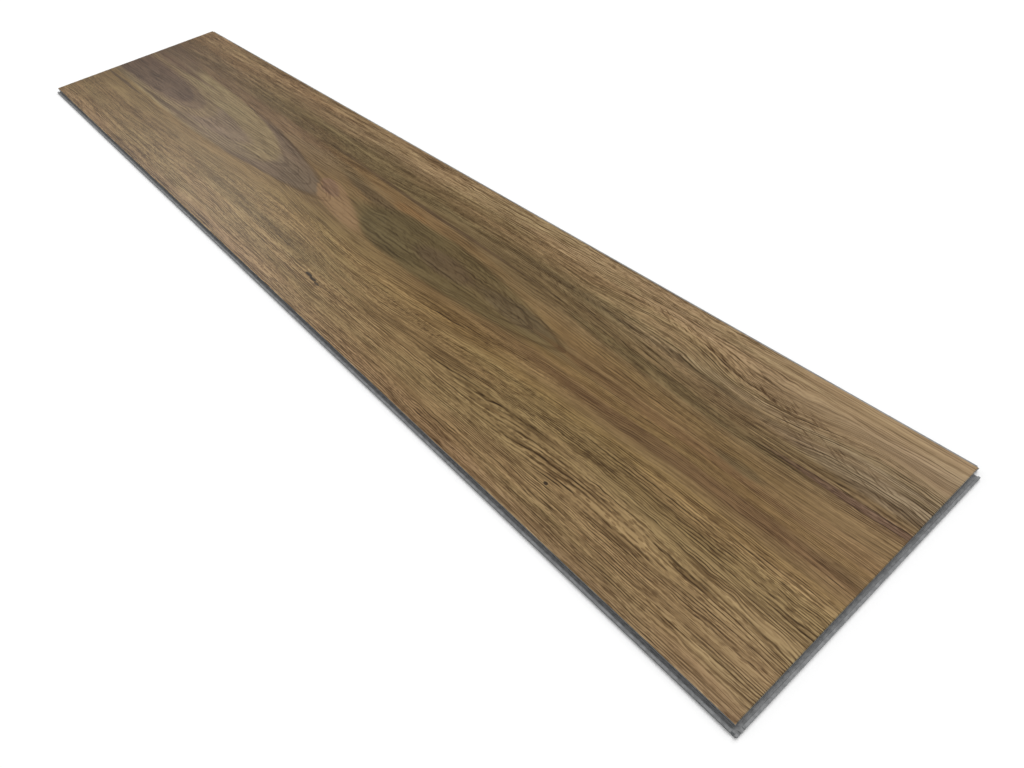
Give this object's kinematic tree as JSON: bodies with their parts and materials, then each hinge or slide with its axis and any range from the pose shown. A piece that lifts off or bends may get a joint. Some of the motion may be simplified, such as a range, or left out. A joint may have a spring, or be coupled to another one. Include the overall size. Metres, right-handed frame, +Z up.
{
  "type": "vinyl floor plank",
  "caption": "Rigid-core vinyl floor plank with a wood-grain printed face and click-lock lips and tongues on its four edges.",
  "frame": {"origin": "in the underside, below the middle of the printed face", "axes": "+X along the plank towards the end with the lip, +Y across it towards the long tongue, +Z up out of the printed face"},
  "size_m": [0.9186, 0.1892, 0.004],
  "materials": {
    "core": "matte milled mineral-filled vinyl",
    "face_layer": "satin printed wood grain under a clear wear layer"
  },
  "bodies": {
    "root": {"core": "core", "face_layer": "face_layer"}
  },
  "joints": []
}
